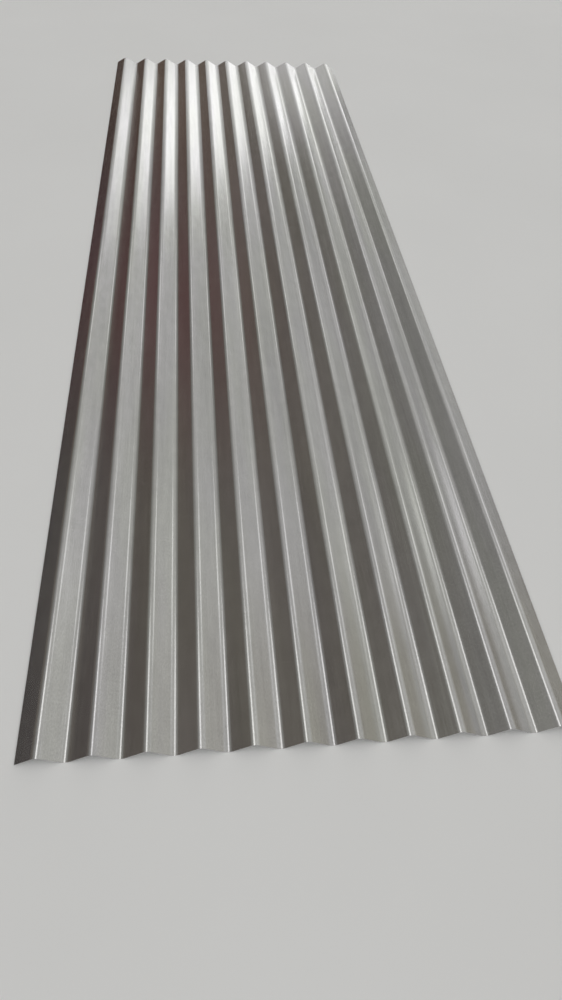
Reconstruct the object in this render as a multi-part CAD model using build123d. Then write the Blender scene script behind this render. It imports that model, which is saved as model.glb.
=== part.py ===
from build123d import *
import math
import os

# A corrugated metal sheet: one strip of coated steel, rolled into even waves.
# Sizes are in millimetres. X runs across the waves, Y along them and Z up.
# The sheet lies flat on its valleys, with the origin on the floor under its middle.

# Driving dimensions
PITCH = 76.2  # from one crest to the next
CREST_COUNT = 11  # crests across the sheet, with a valley between each two
DEPTH = 18.0  # overall, from the underside of a valley to the top of a crest
THICKNESS = 0.45  # of the metal
INSIDE_RADIUS = 13.8  # of every bend, on its hollow side
EDGE_RISE = 2.0  # the two side edges stop this far above the floor
LENGTH = 2743.2  # along the waves, from one cut end to the other

# The underside is drawn first, as a zigzag whose corners are rounded.
# At a crest the underside is the hollow side of the bend, and at a valley it is the full side.
CREST_RADIUS = INSIDE_RADIUS
VALLEY_RADIUS = INSIDE_RADIUS + THICKNESS


def flank_angle():
    """Slope of the straight flank that touches a crest bend and the next valley bend.

    The bends are half a pitch apart and as high apart as the waves are deep, so the angle obeys
    half_pitch * sin(angle) + spare * cos(angle) = both_radii.
    """
    half_pitch = PITCH / 2
    both_radii = CREST_RADIUS + VALLEY_RADIUS
    spare = both_radii - (DEPTH - THICKNESS)
    return math.asin(both_radii / math.hypot(half_pitch, spare)) - math.atan2(spare, half_pitch)


def underside():
    """The line of the underside across the sheet, from the left edge to the right one."""
    slope = flank_angle()
    corner_beyond_bend = 1 / math.cos(slope) - 1
    crest_corner = DEPTH - THICKNESS + CREST_RADIUS * corner_beyond_bend
    valley_corner = -VALLEY_RADIUS * corner_beyond_bend

    last_crest = (CREST_COUNT - 1) * PITCH / 2
    edge = last_crest + (crest_corner - EDGE_RISE) / math.tan(slope)

    corners = []
    radii = []
    for bend in range(2 * CREST_COUNT - 1):
        is_crest = bend % 2 == 0
        across = bend * PITCH / 2 - last_crest
        corners.append((across, crest_corner if is_crest else valley_corner))
        radii.append(CREST_RADIUS if is_crest else VALLEY_RADIUS)
    return FilletPolyline((-edge, EDGE_RISE), *corners, (edge, EDGE_RISE), radius=radii)


def corrugated_sheet():
    """The sheet: its section, which is the underside thickened upwards, drawn out along the waves."""
    with BuildPart() as sheet:
        with BuildSketch(Plane.XZ):
            with BuildLine():
                underside()
                offset(amount=THICKNESS, side=Side.LEFT)
            make_face()
        extrude(amount=LENGTH / 2, both=True)
    return sheet.part


sheet = corrugated_sheet()
sheet.label = "corrugated_sheet"
os.makedirs("parts", exist_ok=True)
export_step(sheet, "parts/corrugated_sheet.step")

width = sheet.bounding_box().size.X
girth = sheet.volume / LENGTH / THICKNESS
print(f"flank angle {math.degrees(flank_angle()):.1f} degrees")
print(f"sheet {width:.1f} wide, {LENGTH:.1f} long, {DEPTH:.1f} deep, from a strip {girth:.0f} wide")
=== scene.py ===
# %% [markdown]
# # A corrugated metal sheet
#
# The real object is one strip of thin steel with a bright zinc coating. A roll former has pressed it into
# eleven rounded waves, and a shear has cut it to length. This lesson makes its look in Blender: a finely
# curved mesh of the sheet, the coating, a pale floor, soft light and the camera.
#
# The construction model comes first. It is a fixed frame: it gives the sheet's place and its overall size,
# and the fine mesh that is made here lies exactly where it does.

# %% Load the frame
import math

import bpy
from mathutils import Euler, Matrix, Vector


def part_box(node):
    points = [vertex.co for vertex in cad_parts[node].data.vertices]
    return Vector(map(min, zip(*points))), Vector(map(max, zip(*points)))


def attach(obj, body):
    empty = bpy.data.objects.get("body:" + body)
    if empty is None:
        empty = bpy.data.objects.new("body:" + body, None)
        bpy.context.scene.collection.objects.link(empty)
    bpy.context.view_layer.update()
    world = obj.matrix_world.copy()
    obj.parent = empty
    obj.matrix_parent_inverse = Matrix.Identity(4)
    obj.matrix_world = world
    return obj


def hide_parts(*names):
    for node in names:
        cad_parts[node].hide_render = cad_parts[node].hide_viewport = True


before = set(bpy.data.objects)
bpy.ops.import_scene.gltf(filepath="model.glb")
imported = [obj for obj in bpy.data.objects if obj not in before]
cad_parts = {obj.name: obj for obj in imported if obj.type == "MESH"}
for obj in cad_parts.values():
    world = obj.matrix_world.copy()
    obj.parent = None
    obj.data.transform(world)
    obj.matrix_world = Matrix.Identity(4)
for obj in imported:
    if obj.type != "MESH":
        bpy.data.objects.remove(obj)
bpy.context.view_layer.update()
low_corner, high_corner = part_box("corrugated_sheet")
print("sheet in the frame, in metres:", tuple(round(v, 4) for v in high_corner - low_corner))

# %% [markdown]
# ## The sizes of a wave
#
# The section of the sheet is a zigzag with rounded corners. Four sizes fix it: the pitch from crest to
# crest, the overall depth, the thickness of the metal and the radius of the bends. The side edges stop
# just above the floor. All the sums here are for the middle of the metal, halfway between its two faces.

# %% Sizes of the sheet, in metres
PITCH = 0.0762
DEPTH = 0.018
THICKNESS = 0.00045
INSIDE_RADIUS = 0.0138
EDGE_RISE = 0.002

length = round(high_corner.y - low_corner.y, 4)
crests = round((high_corner.x - low_corner.x) / PITCH)
half_pitch = PITCH / 2
middle_depth = DEPTH - THICKNESS
bend_radius = INSIDE_RADIUS + THICKNESS / 2
print(f"{crests} crests, {1000 * PITCH:.1f} mm apart, on a sheet {1000 * length:.1f} mm long")

# %% [markdown]
# The slope of the straight flanks follows from these sizes, because each flank has to touch the bend of a
# crest and the bend of a valley. Its angle solves one equation: half the pitch times its sine, plus the
# spare height times its cosine, is two bend radii. The flank's own length is what the two bends leave of
# half a pitch. The two outer flanks are cut a little short, because they end at the side edges.

# %% Slope and length of the flanks
spare = 2 * bend_radius - middle_depth
flank_angle = math.asin(2 * bend_radius / math.hypot(half_pitch, spare)) - math.atan2(spare, half_pitch)
flank_length = (half_pitch - 2 * bend_radius * math.sin(flank_angle)) / math.cos(flank_angle)
bend_drop = bend_radius * (1 - math.cos(flank_angle))
outer_flank_length = (middle_depth - EDGE_RISE - bend_drop) / math.sin(flank_angle)
print(f"flanks of {1000 * flank_length:.1f} mm at {math.degrees(flank_angle):.1f} degrees,")
print(f"and of {1000 * outer_flank_length:.1f} mm at the side edges")

# %% [markdown]
# ## A short way to write node trees
#
# Both the shape and the coating come from node trees. Wiring nodes by hand is long to read, so one small
# class holds an output of a node. Sums with it add Math nodes, and its `node` method adds any other node:
# first its settings, then its sockets, as plain values or as other outputs.

# %% A class for the outputs of nodes
class Output:
    """One output of a node. It can take part in sums and feed other nodes of its tree."""

    def __init__(self, tree, socket=None):
        self.tree = tree
        self.socket = socket

    def node(self, kind, settings=None, inputs=None, output=0):
        """Adds a node to this tree and gives one of its outputs."""
        made = self.tree.nodes.new(kind)
        settings = dict(settings or {})
        for number, (position, colour) in enumerate(settings.pop("stops", [])):
            elements = made.color_ramp.elements
            stop = elements[number] if number < 2 else elements.new(position)
            stop.position, stop.color = position, colour
        for name, value in settings.items():
            setattr(made, name, value)
        for name, value in (inputs or {}).items():
            if isinstance(value, Output):
                self.tree.links.new(value.socket, made.inputs[name])
            else:
                made.inputs[name].default_value = value
        return Output(self.tree, made.outputs[output])

    def beside(self, output):
        """Another output of the same node."""
        return Output(self.tree, self.socket.node.outputs[output])

    def math(self, operation, *values):
        """A Math node, with this output as its first value."""
        return self.node("ShaderNodeMath", {"operation": operation}, dict(enumerate((self, *values))))

    def __add__(self, other):
        return self.math("ADD", other)

    def __sub__(self, other):
        return self.math("SUBTRACT", other)

    def __rsub__(self, other):
        return self * -1 + other

    def __mul__(self, other):
        return self.math("MULTIPLY", other)

    def __truediv__(self, other):
        return self.math("DIVIDE", other)

    def __rtruediv__(self, other):
        return self.math("POWER", -1.0) * other

    __radd__ = __add__
    __rmul__ = __mul__

# %% [markdown]
# Directions and places are vectors, and a Math node would keep only one number of them. These two helpers
# put a vector together and stretch it.

# %% Helpers for vectors
def vector(x, y, z):
    """A vector of three values, of which the first is an output."""
    return x.node("ShaderNodeCombineXYZ", None, {"X": x, "Y": y, "Z": z})


def scaled(direction, amount):
    """A vector times a number."""
    return direction.node("ShaderNodeVectorMath", {"operation": "SCALE"}, {0: direction, "Scale": amount})

# %% [markdown]
# ## The shape: waves by a rule
#
# The waves follow one rule all the way across, so Geometry Nodes suit them better than modelling by hand:
# the sizes stay named inputs, and a change of one moves every wave. The tree starts from a flat grid whose
# columns are steps across the sheet. Each step knows its nearest bend. Up to half a bend away it lies on
# an arc, and further out on a straight flank, so the bends get many columns and the flats only a few.

# %% Named inputs of the tree
SIZE_INPUTS = {
    "Length": length,
    "Half pitch": half_pitch,
    "Middle depth": middle_depth,
    "Thickness": THICKNESS,
    "Bend radius": bend_radius,
    "Flank angle": flank_angle,
    "Flank length": flank_length,
    "Outer flank length": outer_flank_length,
    "Flutter": 0.00012,
}
COUNT_INPUTS = {
    "Crests": crests,
    "Steps per bend": 16,
    "Steps per flank": 6,
    "Rows": 70,
    "Seed": 4,
}


def new_tree():
    """An empty Geometry Nodes tree with the named inputs, and the outputs that carry them."""
    tree = bpy.data.node_groups.new("rolled_waves", "GeometryNodeTree")
    tree.interface.new_socket("Geometry", in_out="OUTPUT", socket_type="NodeSocketGeometry")
    for name in SIZE_INPUTS:
        tree.interface.new_socket(name, in_out="INPUT", socket_type="NodeSocketFloat")
    for name in COUNT_INPUTS:
        tree.interface.new_socket(name, in_out="INPUT", socket_type="NodeSocketInt")
    tree.interface.new_socket("Material", in_out="INPUT", socket_type="NodeSocketMaterial")
    entry = tree.nodes.new("NodeGroupInput")
    return tree, {socket.name: Output(tree, socket) for socket in entry.outputs if socket.name}


print("inputs of the tree:", ", ".join([*SIZE_INPUTS, *COUNT_INPUTS, "Material"]))

# %% [markdown]
# The grid's X counts steps, so that every column finds its bend with a division and a rounding. Crests
# are the even bends and valleys the odd ones. The angle grows with the steps until the bend is done, and
# what remains runs down the flank. From the angle come the place on the section and the direction that
# the face looks in.

# %% The rule of the section
def section(step, size):
    """Place across, height and facing of a step, and how far it is along the strip before it was bent."""
    half_wave_steps = size["Steps per bend"] + size["Steps per flank"]
    half_bend_steps = size["Steps per bend"] / 2
    last_bend = (size["Crests"] - 1) * 2
    bend = (step / half_wave_steps).math("ROUND").math("MAXIMUM", 0.0).math("MINIMUM", last_bend)
    from_bend = step - bend * half_wave_steps
    side = from_bend.math("SIGN")
    steps_out = from_bend.math("ABSOLUTE")
    upward = 1 - bend.math("MODULO", 2.0) * 2

    angle = (steps_out / half_bend_steps).math("MINIMUM", 1.0) * size["Flank angle"]
    flank_steps_out = (steps_out - half_bend_steps).math("MAXIMUM", 0.0)
    run = flank_steps_out / size["Steps per flank"] * size["Flank length"]
    run = run.math("MINIMUM", size["Outer flank length"])

    out = size["Bend radius"] * angle.math("SINE") + run * size["Flank angle"].math("COSINE")
    drop = size["Bend radius"] * (1 - angle.math("COSINE")) + run * size["Flank angle"].math("SINE")
    across = (bend - last_bend / 2) * size["Half pitch"] + side * out
    height = (size["Middle depth"] + size["Thickness"]) / 2 + upward * (size["Middle depth"] / 2 - drop)
    facing = vector(side * upward * angle.math("SINE"), 0.0, angle.math("COSINE"))

    out_on_strip = side * (size["Bend radius"] * angle + run)
    bend_on_strip = size["Bend radius"] * size["Flank angle"] * 2 + size["Flank length"]
    on_strip = (bend - last_bend / 2) * bend_on_strip + out_on_strip
    straightness = angle / size["Flank angle"]
    return across, height, facing, on_strip, out_on_strip, straightness

# %% [markdown]
# Real thin sheet is never quite flat between its bends: the flanks flutter by about a tenth of a
# millimetre, which is enough to bend the long reflections. A stretched noise moves the flanks along their
# facing, and leaves the tops and bottoms of the waves where they are, so that the size stays true.

# %% Flutter of the flanks
FLUTTERS_ACROSS = 18
FLUTTERS_ALONG = 3.5


def fluttered(on_strip, along, straightness, size):
    """How far a place on the sheet lies off its true face, by a noise with so many features to the metre."""
    flutter = along.node("ShaderNodeTexNoise", {"noise_dimensions": "4D"}, {
        "Vector": vector(on_strip * FLUTTERS_ACROSS, along * FLUTTERS_ALONG, 0.0),
        "W": size["Seed"],
        "Scale": 1.0,
        "Detail": 2.0,
    })
    return (flutter - 0.5) * 2 * size["Flutter"] * straightness * straightness

# %% [markdown]
# The lower face of the metal is laid first: each point of the grid goes to its place on the section, half
# a thickness below the middle. The strip's own coordinates are stored as an attribute, because the
# coating's streaks follow the metal over the waves, and so is the facing, which the next step needs.

# %% Lay the lower face
def stored(geometry, name, value):
    """The geometry with a vector stored on its points under a name."""
    settings = {"data_type": "FLOAT_VECTOR", "domain": "POINT"}
    return geometry.node("GeometryNodeStoreNamedAttribute", settings, {
        "Geometry": geometry,
        "Name": name,
        "Value": value,
    })


def lower_face(start, size):
    """The lower face of the sheet, bent into its waves."""
    columns = size["Steps per flank"] * 2 + size["Steps per bend"] + 1
    columns = columns + (size["Crests"] - 1) * 2 * (size["Steps per bend"] + size["Steps per flank"])
    grid = start.node("GeometryNodeMeshGrid", None, {
        "Size X": columns - 1,
        "Size Y": size["Length"],
        "Vertices X": columns,
        "Vertices Y": size["Rows"],
    })

    place = start.node("ShaderNodeSeparateXYZ", None, {"Vector": start.node("GeometryNodeInputPosition")})
    along = place.beside("Y")
    step = place + (columns - 1) / 2 - size["Steps per flank"] - size["Steps per bend"] / 2
    across, height, facing, on_strip, out_on_strip, straightness = section(step, size)
    below_middle = fluttered(on_strip, along, straightness, size) - size["Thickness"] / 2

    named = stored(grid, "facing", facing)
    named = stored(named, "strip_place", vector(on_strip, along, out_on_strip))
    return named.node("GeometryNodeSetPosition", None, {
        "Geometry": named,
        "Position": vector(across, along, height),
        "Offset": scaled(facing, below_middle),
    })

# %% [markdown]
# Then the sheet gets its thickness. The mesh is extruded along the facing, and a flipped copy of the lower
# face closes it below. The cut edges are marked for their own finish.
#
# The last nodes round the tree off. Faces are smooth, apart from the cut edges, which meet them at a
# sharp corner. Realize Instances and Set Material come last.

# %% Thickness, cut edges and material
MERGE_DISTANCE = 0.00002
SHARP_ANGLE = 1.0


def thickened(face, size):
    """The closed sheet over its lower face, with its cut edges marked and its material set."""
    facing = face.node("GeometryNodeInputNamedAttribute", {"data_type": "FLOAT_VECTOR"}, {"Name": "facing"})
    raised = face.node("GeometryNodeExtrudeMesh", {"mode": "FACES"}, {
        "Mesh": face,
        "Offset": facing,
        "Offset Scale": size["Thickness"],
        "Individual": False,
    })
    marked = raised.node("GeometryNodeStoreNamedAttribute", {"data_type": "FLOAT", "domain": "FACE"}, {
        "Geometry": raised,
        "Name": "cut_edge",
        "Value": raised.beside("Side"),
    })
    underside = face.node("GeometryNodeFlipFaces", None, {"Mesh": face})
    both = marked.node("GeometryNodeJoinGeometry", None, {"Geometry": marked})
    both.tree.links.new(underside.socket, both.socket.node.inputs["Geometry"])
    closed = both.node("GeometryNodeMergeByDistance", None, {"Geometry": both, "Distance": MERGE_DISTANCE})

    angle = closed.node("GeometryNodeInputMeshEdgeAngle")
    smooth = closed.node("GeometryNodeSetShadeSmooth", {"domain": "EDGE"}, {
        "Geometry": closed,
        "Shade Smooth": angle.math("LESS_THAN", SHARP_ANGLE),
    })
    real = smooth.node("GeometryNodeRealizeInstances", None, {"Geometry": smooth})
    return real.node("GeometryNodeSetMaterial", None, {"Geometry": real, "Material": size["Material"]})

# %% [markdown]
# The tree is now put together, from its named inputs to its one output.

# %% Build the tree
def rolled_waves():
    """The Geometry Nodes tree of the sheet."""
    tree, size = new_tree()
    sheet_output = thickened(lower_face(Output(tree), size), size)
    result = tree.nodes.new("NodeGroupOutput")
    tree.links.new(sheet_output.socket, result.inputs["Geometry"])
    return tree


waves = rolled_waves()
print("the tree of the waves has", len(waves.nodes), "nodes")

# %% [markdown]
# ## The coating
#
# Hot-dip zinc on smooth steel is a metal all through the shader: its colour is the colour of its
# reflections, and the roughness says how wide they blur. What makes it look real is that neither is quite
# even. Rolling leaves fine streaks and broader strokes along the strip, the coating has soft cloudy tones
# and a faint mottle, and a thin film of oil shifts its tint from place to place. All of these are noises
# on the strip's own coordinates, and most of them are stretched along the rolling direction.

# %% Patterns on the strip
# Features to the metre across the strip and along it, how fine the detail is, and a seed
PATTERNS = {
    "streaky_parts": (7.0, 1.1, 1.0, 5.0),
    "streaks": (380.0, 5.0, 3.0, 1.0),
    "strokes": (110.0, 7.0, 3.0, 6.0),
    "tones": (13.0, 1.2, 2.0, 3.0),
    "mottle": (45.0, 30.0, 3.0, 7.0),
    "bands": (100.0, 1.4, 2.0, 2.0),
    "grain": (420.0, 260.0, 2.0, 4.0),
    "oil_film": (13.0, 1.6, 2.0, 8.0),
}


def noise(place, across_scale, along_scale, detail, seed):
    """Noise on the strip, with so many features to the metre across and along it."""
    split = place.node("ShaderNodeSeparateXYZ", None, {"Vector": place})
    return place.node("ShaderNodeTexNoise", {"noise_dimensions": "4D"}, {
        "Vector": vector(split * across_scale, split.beside("Y") * along_scale, 0.0),
        "W": seed,
        "Scale": 1.0,
        "Detail": detail,
    })


print("patterns on the strip:", ", ".join(PATTERNS))

# %% [markdown]
# A noise hovers around a half. So a pattern acts through its distance from a half, times a share that says
# how strongly it acts. Two more helpers turn numbers into soft-edged masks and mix colours.

# %% Helpers for mixing patterns
def swayed(middle, patterns, shares):
    """A value that each named pattern pushes up and down by its share."""
    value = middle
    for name, share in shares.items():
        value = value + (patterns[name] - 0.5) * share
    return value


def ramp(value, start, end):
    """A smooth rise from 0 to 1 between two values, or a fall from 1 to 0 if the first is the larger."""
    return value.node("ShaderNodeMapRange", {"interpolation_type": "SMOOTHSTEP"}, {
        "Value": value,
        "From Min": start,
        "From Max": end,
    })


def mixed(share, first, second, blend="MIX"):
    """A colour between two, by a share from 0 to 1. Each is an output or three values."""
    first, second = [c if isinstance(c, Output) else (*c, 1.0) for c in (first, second)]
    return share.node("ShaderNodeMix", {"data_type": "RGBA", "blend_type": blend}, {
        "Factor": share,
        "A": first,
        "B": second,
    }, output="Result")

# %% [markdown]
# The zinc's colour, roughness and relief come from the same few patterns, so that a streak differs from
# its neighbours in all three at once, as on the real metal. The relief is only hundredths of a millimetre
# high: long bands make the mirrored lines waver, and streaks and grain break them up.

# %% How the patterns act on the metal
COLOUR_SHARES = {"streaks": 0.5, "strokes": 0.7, "tones": 1.3, "mottle": 0.5, "grain": 1.1}
COOL_ZINC = [(0.600, 0.595, 0.606), (0.840, 0.833, 0.846)]
WARM_ZINC = [(0.600, 0.604, 0.586), (0.838, 0.844, 0.818)]
SHEARED_STEEL = [(0.42, 0.41, 0.40), (0.62, 0.61, 0.60)]

ROUGHNESS = 0.185
ROUGHNESS_SHARES = {"streaks": 0.06, "mottle": 0.06, "tones": 0.06}
CUT_ROUGHNESS = 0.15  # more than on the coating

RELIEF = {"streaks": 0.000009, "strokes": 0.000012, "bands": 0.00010, "grain": 0.000006}
print("height of the relief, in mm:", {name: round(1000 * height, 3) for name, height in RELIEF.items()})

# %% [markdown]
# The streaks are stronger in some parts of the strip than in others, so a wide soft mask sets their
# strength. The oil film is a mask too, between a cool and a warm shade of the zinc.

# %% Make the patterns
STREAKY_EDGES = (0.42, 0.62)
FILM_EDGES = (0.35, 0.65)
STREAKS_EVERYWHERE = 0.25


def strip_patterns(place):
    """The patterns on the strip by their names, each as an output."""
    patterns = {name: noise(place, *scales) for name, scales in PATTERNS.items()}
    streaky = ramp(patterns["streaky_parts"], *STREAKY_EDGES)
    strength = STREAKS_EVERYWHERE + streaky * (1 - STREAKS_EVERYWHERE)
    patterns["streaks"] = 0.5 + (patterns["streaks"] - 0.5) * strength
    patterns["oil_film"] = ramp(patterns["oil_film"], *FILM_EDGES)
    return patterns


def metal_colour(patterns, cut_edge):
    """The colour of the zinc, and of the bare steel on the cut edges."""
    brightness = swayed(0.5, patterns, COLOUR_SHARES)
    zinc = mixed(patterns["oil_film"], mixed(brightness, *COOL_ZINC), mixed(brightness, *WARM_ZINC))
    return mixed(cut_edge, zinc, mixed(patterns["streaks"], *SHEARED_STEEL))

# %% [markdown]
# One material holds both finishes, because the coating and the sheared edges belong to one piece of metal.
# It reads the strip's coordinates and the mark of the cut edges from the mesh.

# %% The zinc coating
def zinc_coating():
    """The material of the sheet: bright zinc on steel, and bare sheared steel on the cut edges."""
    material = bpy.data.materials.new("coated_steel")
    material.use_nodes = True
    tree = material.node_tree
    start = Output(tree)
    place = start.node("ShaderNodeAttribute", {"attribute_name": "strip_place"}, output="Vector")
    cut_edge = start.node("ShaderNodeAttribute", {"attribute_name": "cut_edge"}, output="Fac")
    patterns = strip_patterns(place)

    roughness = swayed(ROUGHNESS, patterns, ROUGHNESS_SHARES) + cut_edge * CUT_ROUGHNESS
    relief = sum(patterns[name] * height for name, height in RELIEF.items())
    bump = start.node("ShaderNodeBump", None, {
        "Strength": 1.0,
        "Distance": 1.0,
        "Height": relief,
    }, output="Normal")

    shader = tree.nodes["Principled BSDF"]
    shader.inputs["Metallic"].default_value = 1.0
    tree.links.new(metal_colour(patterns, cut_edge).socket, shader.inputs["Base Color"])
    tree.links.new(roughness.socket, shader.inputs["Roughness"])
    tree.links.new(bump.socket, shader.inputs["Normal"])
    return material


coating = zinc_coating()
print("the coating has", len(coating.node_tree.nodes), "nodes")

# %% [markdown]
# ## Make the sheet
#
# The tree runs as a modifier on an empty mesh. Its inputs are set by the identifier of each socket before
# anything is evaluated. The result becomes a plain mesh, and the modifier and its carrier go.

# %% Run the tree and keep its mesh
carrier = bpy.data.objects.new("carrier", bpy.data.meshes.new("carrier"))
bpy.context.scene.collection.objects.link(carrier)
modifier = carrier.modifiers.new("waves", "NODES")
modifier.node_group = waves
values = {**SIZE_INPUTS, **COUNT_INPUTS, "Material": coating}
for item in waves.interface.items_tree:
    if item.in_out == "INPUT":
        modifier[item.identifier] = values[item.name]

evaluated = carrier.evaluated_get(bpy.context.evaluated_depsgraph_get())
mesh = bpy.data.meshes.new_from_object(evaluated)
mesh.name = "corrugated_sheet_skin"
carrier.modifiers.remove(modifier)
bpy.data.objects.remove(carrier)

sheet = bpy.data.objects.new("sheet_metal", mesh)
bpy.context.scene.collection.objects.link(sheet)
print("sheet:", len(mesh.vertices), "vertices,", sum(len(p.vertices) - 2 for p in mesh.polygons), "triangles")

# %% [markdown]
# The new mesh rides on the frame's only body, and stands for the plain construction solid.

# %% Hand the sheet to the frame
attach(sheet, "root")
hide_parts("corrugated_sheet")
print(sheet.name, "rides on root in place of corrugated_sheet")

# %% [markdown]
# ## Floor
#
# The floor is plain and pale, so that only the metal draws the eye. A round disc reaches equally far on
# every side, and beyond its rim the backdrop goes on in nearly the same tone. The paint's tone varies a
# little in wide patches, as on a real floor.

# %% A pale floor
FLOOR_RADIUS = 60.0
FLOOR_CORNERS = 96
FLOOR_PAINT = [(0.83, 0.83, 0.825), (0.88, 0.88, 0.875)]
FLOOR_ROUGHNESS = 0.7
FLOOR_PATCHES = {"Scale": 2.0, "Detail": 4.0}


def pale_paint():
    """A matt pale paint, slightly uneven in its tone."""
    material = bpy.data.materials.new("pale_paint")
    material.use_nodes = True
    tree = material.node_tree
    place = Output(tree).node("ShaderNodeTexCoord", output="Object")
    patches = place.node("ShaderNodeTexNoise", None, {"Vector": place, **FLOOR_PATCHES})
    shader = tree.nodes["Principled BSDF"]
    tree.links.new(mixed(patches, *FLOOR_PAINT).socket, shader.inputs["Base Color"])
    shader.inputs["Roughness"].default_value = FLOOR_ROUGHNESS
    return material


def pale_floor():
    """A wide round level floor."""
    floor_mesh = bpy.data.meshes.new("floor")
    turns = [2 * math.pi * number / FLOOR_CORNERS for number in range(FLOOR_CORNERS)]
    corners = [(FLOOR_RADIUS * math.cos(turn), FLOOR_RADIUS * math.sin(turn), 0.0) for turn in turns]
    floor_mesh.from_pydata(corners, [], [range(FLOOR_CORNERS)])
    floor_mesh.materials.append(pale_paint())
    return bpy.data.objects.new("floor", floor_mesh)


floor = pale_floor()
bpy.context.scene.collection.objects.link(floor)
print("floor: a disc", 2 * FLOOR_RADIUS, "m across")

# %% [markdown]
# ## Light
#
# Metal shows its surroundings, so the room decides how the waves read. Each face mirrors what lies in one
# direction: the tops look at the ceiling, and the flanks look low to the right or low to the left. Here
# the room is a long studio along the sheet, drawn on the world by ramps over the lean, which is the angle
# from straight up towards the right. Ahead of the camera the light grows from a dim and warm left side to
# a bright ceiling and right side. Behind the camera two long rows of soft light hang left and right of the
# middle, so that the waves read from the other end too.

# %% Colours of the room over the lean, in degrees
AHEAD_STOPS = [
    (-85, (0.055, 0.047, 0.047)),
    (-73, (0.060, 0.050, 0.050)),
    (-67, (0.112, 0.088, 0.081)),
    (-42, (0.142, 0.132, 0.117)),
    (-34, (0.242, 0.240, 0.227)),
    (-18, (0.275, 0.270, 0.257)),
    (2, (0.420, 0.416, 0.400)),
    (35, (0.475, 0.472, 0.456)),
    (70, (0.450, 0.449, 0.434)),
    (86, (0.335, 0.333, 0.320)),
    (100, (0.240, 0.225, 0.200)),
]
BEHIND_STOPS = [
    (-85, (0.36, 0.36, 0.355)),
    (-60, (0.42, 0.42, 0.415)),
    (-46, (1.25, 1.25, 1.24)),
    (-26, (1.25, 1.25, 1.24)),
    (-12, (0.46, 0.46, 0.455)),
    (12, (0.46, 0.46, 0.455)),
    (26, (1.25, 1.25, 1.24)),
    (46, (1.25, 1.25, 1.24)),
    (60, (0.42, 0.42, 0.415)),
    (85, (0.36, 0.36, 0.355)),
]


def colour_ramp(value, stops):
    """A colour that changes with a value from 0 to 1."""
    stops = [(position, (*colour, 1.0)) for position, colour in stops]
    return value.node("ShaderNodeValToRGB", {"stops": stops}, {"Fac": value})


def by_lean(lean, stops):
    """A colour that changes with the lean."""
    return colour_ramp(lean / 360 + 0.5, [((angle + 180) / 360, colour) for angle, colour in stops])


print(len(AHEAD_STOPS), "stops ahead of the camera and", len(BEHIND_STOPS), "behind it")

# %% [markdown]
# A real room isn't the same from end to end. So a few soft-edged patches are laid over its colours: a
# bright far end, a brighter far part on the left, dim corners low on both sides, and a dimmer near part on
# the right. Each fades in over how far ahead a direction points, from 0 at the side to 1 straight ahead,
# and over the lean. The left side also changes its warm tint on the way to the far end.

# %% Patches of the room
# How a patch is laid on, its colour, and the fades: first ahead, and then over the lean
PATCHES = [
    ("MIX", (0.52, 0.52, 0.51), (0.915, 0.945), (-53, -38)),
    ("MULTIPLY", (1.45, 1.44, 1.45), (0.885, 0.925), (-49, -45), (-22, -36)),
    ("MULTIPLY", (0.55, 0.44, 0.38), (0.84, 0.93), (-66, -72)),
    ("MULTIPLY", (0.32, 0.31, 0.28), (0.895, 0.925), (83, 87)),
    ("MULTIPLY", (0.73, 0.70, 0.63), (0.65, 0.45), (40, 80)),
]
LEFT_TINTS = [
    (0.68, (1.06, 1.16, 1.12)),
    (0.77, (1.00, 0.86, 0.87)),
    (0.84, (1.06, 0.65, 0.69)),
    (0.89, (0.98, 0.78, 0.82)),
    (0.94, (1.15, 1.00, 0.84)),
]
LEFT_SIDE = (-46, -62)


def patched(colour, ahead, lean):
    """The colour of the room ahead, with its patches and the tints of its left side."""
    for blend, patch_colour, ahead_fade, *lean_fades in PATCHES:
        share = ramp(ahead, *ahead_fade)
        for fade in lean_fades:
            share = share * ramp(lean, *fade)
        colour = mixed(share, colour, patch_colour, blend)
    return mixed(ramp(lean, *LEFT_SIDE), colour, colour_ramp(ahead, LEFT_TINTS), "MULTIPLY")


print(len(PATCHES), "patches over the room")

# %% [markdown]
# A cloudy noise makes the light ahead a little uneven. Then the two ends of the room are joined, with a
# soft change at the side.
#
# The camera sees this room only as it is mirrored in the metal. Where it looks past the floor it sees an
# even backdrop in the floor's tone instead, as in a studio with a curved backdrop. The Light Path node
# tells the world which rays come straight from the camera.

# %% The room
CLOUDS = {"Scale": 9.0, "Detail": 3.0}
UNEVENNESS = 0.35
AHEAD_FROM_BEHIND = (-0.15, 0.30)
BACKDROP = (0.555, 0.555, 0.545)


def room():
    """A world of soft grey light, with an even backdrop where the camera looks at it directly."""
    world = bpy.data.worlds.new("room")
    world.use_nodes = True
    tree = world.node_tree
    direction = Output(tree).node("ShaderNodeTexCoord")
    split = direction.node("ShaderNodeSeparateXYZ", None, {"Vector": direction})
    ahead = split.beside("Y")
    lean = split.math("ARCTAN2", split.beside("Z")) * (180 / math.pi)

    cloudy = direction.node("ShaderNodeTexNoise", None, {"Vector": direction, **CLOUDS})
    colour_ahead = patched(by_lean(lean, AHEAD_STOPS), ahead, lean)
    colour_ahead = scaled(colour_ahead, 1 + (cloudy - 0.5) * UNEVENNESS)
    colour = mixed(ramp(ahead, *AHEAD_FROM_BEHIND), by_lean(lean, BEHIND_STOPS), colour_ahead)
    seen = direction.node("ShaderNodeLightPath", output="Is Camera Ray")
    colour = mixed(seen, colour, BACKDROP)
    tree.links.new(colour.socket, tree.nodes["Background"].inputs["Color"])
    return world


bpy.context.scene.world = room()
bpy.context.scene.view_settings.view_transform = "Standard"
print("the room has", len(bpy.context.scene.world.node_tree.nodes), "nodes")

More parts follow.
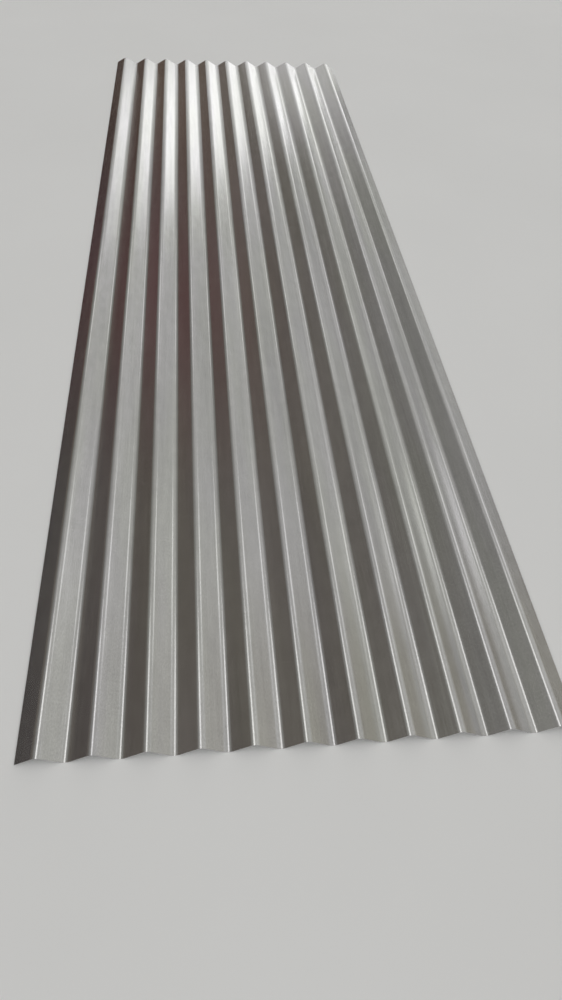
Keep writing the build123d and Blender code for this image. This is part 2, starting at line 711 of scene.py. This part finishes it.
# %% [markdown]
# The soft boxes stand far away, so that each shows in the same direction all over the sheet. One is placed
# by its direction and its size as angles. Its power follows from the brightness that a mirror would show.

# %% Soft boxes
BOX_DISTANCE = 200.0

# Azimuth, elevation, width and height in degrees, and the brightness in a mirror
SOFT_BOXES = {
    "window": (18.6, 8.3, 7.7, 12.4, 0.80),
    "window_foot": (20.7, 3.6, 2.0, 2.6, 1.00),
    "window_glow": (10.0, 16.0, 24.0, 8.0, 0.38),
    "lamp": (38.5, 40.0, 11.0, 9.0, 0.60),
    "overhead": (-12.0, 69.0, 11.0, 24.0, 0.95),
    "skylight": (1.0, 34.0, 7.0, 8.0, 0.60),
}


def soft_box(name, azimuth, elevation, width, height, brightness):
    """A rectangular light far from the sheet. Azimuth turns from +Y to +X, and all angles are in degrees."""
    azimuth, elevation = math.radians(azimuth), math.radians(elevation)
    away = Vector((
        math.sin(azimuth) * math.cos(elevation),
        math.cos(azimuth) * math.cos(elevation),
        math.sin(elevation),
    ))
    light = bpy.data.lights.new(name, "AREA")
    light.shape = "RECTANGLE"
    light.size = 2 * BOX_DISTANCE * math.tan(math.radians(width / 2))
    light.size_y = 2 * BOX_DISTANCE * math.tan(math.radians(height / 2))
    light.energy = brightness * math.pi * light.size * light.size_y
    holder = bpy.data.objects.new(name, light)
    holder.location = away * BOX_DISTANCE
    holder.rotation_euler = (-away).to_track_quat("-Z", "Y").to_euler()
    holder.visible_camera = False
    bpy.context.scene.collection.objects.link(holder)
    print(f"{name}: {light.size:.1f} x {light.size_y:.1f} m, {light.energy:.0f} W")


for box_name, placing in SOFT_BOXES.items():
    soft_box(box_name, *placing)

# %% [markdown]
# ## Camera
#
# The camera stands at the near end, above and a little left of the middle, and looks down along the sheet.
# Its place and angles were found from the ends of the waves in the photograph.

# %% The camera
PICTURE_HEIGHT = 1000
FOCAL_PIXELS = 757
SENSOR = 36.0
CAMERA_PLACE = (-0.140, -1.832, 1.049)
CAMERA_ANGLES = (42.2, -3.25, -5.2)

camera_data = bpy.data.cameras.new("camera")
camera_data.sensor_width = SENSOR
camera_data.lens = FOCAL_PIXELS * SENSOR / PICTURE_HEIGHT
camera = bpy.data.objects.new("camera", camera_data)
camera.location = CAMERA_PLACE
camera.rotation_euler = Euler([math.radians(angle) for angle in CAMERA_ANGLES])
bpy.context.scene.collection.objects.link(camera)
bpy.context.scene.camera = camera
print(f"camera at {CAMERA_PLACE}, with a lens of {camera_data.lens:.1f} mm")
